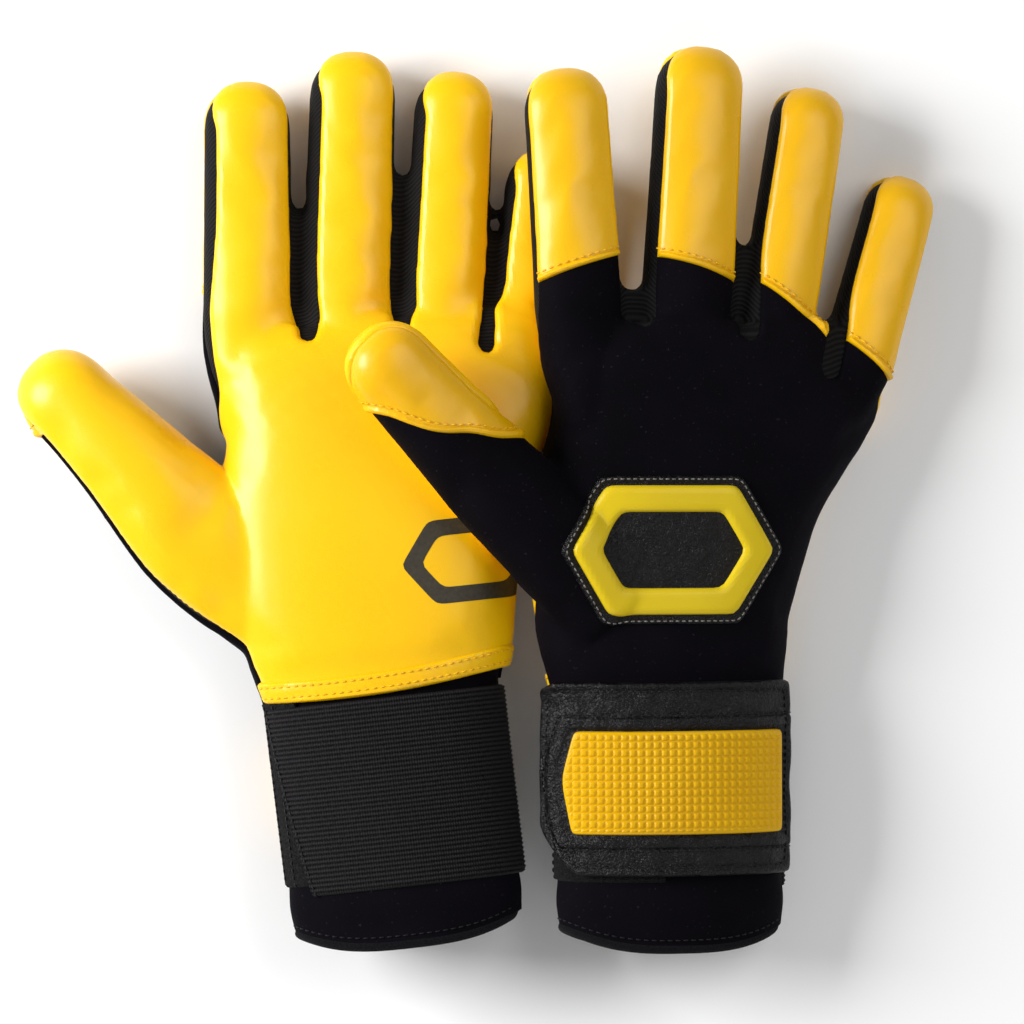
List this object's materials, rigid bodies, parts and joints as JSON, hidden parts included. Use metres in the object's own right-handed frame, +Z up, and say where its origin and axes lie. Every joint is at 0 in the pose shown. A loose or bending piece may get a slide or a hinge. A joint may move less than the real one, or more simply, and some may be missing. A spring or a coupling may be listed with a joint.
{
  "type": "goalkeeper gloves",
  "caption": "Pair of goalkeeper gloves with latex palms and finger backs, black stretch backs, mesh gussets, elastic wrist bands and hook-and-loop wrist straps.",
  "frame": {"origin": "on the table, under the middle of the pair's bounding box", "axes": "+Z up from the table, +Y from the cuffs towards the fingertips, +X from the left glove to the right glove"},
  "size_m": [0.2872, 0.288, 0.0706],
  "materials": {
    "latex": "soft satin foam latex",
    "hem": "soft satin folded latex",
    "neoprene": "matte jersey-faced neoprene",
    "mesh": "matte ribbed knit",
    "elastic": "matte ribbed elastic webbing",
    "leather": "satin grained synthetic leather",
    "rubber": "satin moulded rubber",
    "fastener": "matte hook and loop pile",
    "lining": "matte brushed lining"
  },
  "bodies": {
    "left_glove": {"left_palm_latex": "latex", "left_back_panel": "neoprene", "left_hand_lining": "lining", "left_emblem_backing": "leather", "left_emblem_frame": "rubber", "left_palm_hem": "hem", "left_cuff_sleeve": "neoprene", "left_cuff_binding": "fastener", "left_elastic_band": "elastic", "left_loop_pad": "fastener"},
    "left_thumb": {"left_thumb_palm": "latex", "left_thumb_back": "latex", "left_thumb_gusset": "mesh"},
    "left_index": {"left_index_palm": "latex", "left_index_back": "latex", "left_index_gusset": "mesh"},
    "left_middle": {"left_middle_palm": "latex", "left_middle_back": "latex", "left_middle_gusset": "mesh"},
    "left_ring": {"left_ring_palm": "latex", "left_ring_back": "latex", "left_ring_gusset": "mesh"},
    "left_little": {"left_little_palm": "latex", "left_little_back": "latex", "left_little_gusset": "mesh"},
    "left_strap": {"left_closure_strap": "leather", "left_strap_patch": "rubber", "left_hook_pad": "fastener"},
    "right_glove": {"right_palm_latex": "latex", "right_back_panel": "neoprene", "right_hand_lining": "lining", "right_emblem_backing": "leather", "right_emblem_frame": "rubber", "right_palm_hem": "hem", "right_cuff_sleeve": "neoprene", "right_cuff_binding": "fastener", "right_elastic_band": "elastic", "right_loop_pad": "fastener"},
    "right_thumb": {"right_thumb_palm": "latex", "right_thumb_back": "latex", "right_thumb_gusset": "mesh"},
    "right_index": {"right_index_palm": "latex", "right_index_back": "latex", "right_index_gusset": "mesh"},
    "right_middle": {"right_middle_palm": "latex", "right_middle_back": "latex", "right_middle_gusset": "mesh"},
    "right_ring": {"right_ring_palm": "latex", "right_ring_back": "latex", "right_ring_gusset": "mesh"},
    "right_little": {"right_little_palm": "latex", "right_little_back": "latex", "right_little_gusset": "mesh"},
    "right_strap": {"right_closure_strap": "leather", "right_strap_patch": "rubber", "right_hook_pad": "fastener"}
  },
  "joints": [
    {"name": "right_glove_lift", "type": "slide", "parent": "left_glove", "child": "right_glove", "axis": [0, 0, 1], "range_m": [0, 0.12]},
    {"name": "left_thumb_flex", "type": "hinge", "parent": "left_glove", "child": "left_thumb", "pos_m": [-0.09166, -0.0049, 0.03627], "axis": [0.7204, 0.6926, -0.0378], "range_deg": [0, 50], "stiffness_Nm_per_rad": 0.12},
    {"name": "left_index_flex", "type": "hinge", "parent": "left_glove", "child": "left_index", "pos_m": [-0.07333, 0.05429, 0.02725], "axis": [0.9997, 0.008, -0.0232], "range_deg": [0, 70], "stiffness_Nm_per_rad": 0.12},
    {"name": "left_middle_flex", "type": "hinge", "parent": "left_glove", "child": "left_middle", "pos_m": [-0.04227, 0.06076, 0.02634], "axis": [0.9993, -0.0286, -0.022], "range_deg": [0, 70], "stiffness_Nm_per_rad": 0.12},
    {"name": "left_ring_flex", "type": "hinge", "parent": "left_glove", "child": "left_ring", "pos_m": [-0.0119, 0.05912, 0.0257], "axis": [0.9984, -0.053, -0.0213], "range_deg": [0, 70], "stiffness_Nm_per_rad": 0.12},
    {"name": "left_little_flex", "type": "hinge", "parent": "left_glove", "child": "left_little", "pos_m": [0.01595, 0.05116, 0.0253], "axis": [0.9937, -0.1104, -0.0194], "range_deg": [0, 3], "stiffness_Nm_per_rad": 0.1},
    {"name": "left_strap_open", "type": "hinge", "parent": "left_glove", "child": "left_strap", "pos_m": [0.01642, -0.08273, 0.02337], "axis": [0.1114, -0.9934, 0.0279], "range_deg": [0, 80]},
    {"name": "right_thumb_lift", "type": "hinge", "parent": "right_glove", "child": "right_thumb", "pos_m": [0.01489, -0.00015, 0.05819], "axis": [0.6967, 0.6971, -0.1692], "range_deg": [0, 40], "stiffness_Nm_per_rad": 0.12},
    {"name": "right_index_lift", "type": "hinge", "parent": "right_glove", "child": "right_index", "pos_m": [0.03817, 0.05698, 0.04912], "axis": [0.9673, 0.0541, -0.2476], "range_deg": [0, 30], "stiffness_Nm_per_rad": 0.12},
    {"name": "right_middle_flex", "type": "hinge", "parent": "right_glove", "child": "right_middle", "pos_m": [0.06279, 0.06041, 0.018], "axis": [-0.9652, 0.0802, 0.249], "range_deg": [0, 70], "stiffness_Nm_per_rad": 0.12},
    {"name": "right_ring_flex", "type": "hinge", "parent": "right_glove", "child": "right_ring", "pos_m": [0.09185, 0.05552, 0.01047], "axis": [-0.9564, 0.1547, 0.2477], "range_deg": [0, 70], "stiffness_Nm_per_rad": 0.12},
    {"name": "right_little_flex", "type": "hinge", "parent": "right_glove", "child": "right_little", "pos_m": [0.11781, 0.04461, 0.00365], "axis": [-0.9347, 0.2588, 0.2436], "range_deg": [0, 70], "stiffness_Nm_per_rad": 0.1},
    {"name": "right_strap_open", "type": "hinge", "parent": "right_glove", "child": "right_strap", "pos_m": [0.10545, -0.0885, 0.01119], "axis": [0, 0.9999, 0.014], "range_deg": [0, 120]}
  ]
}
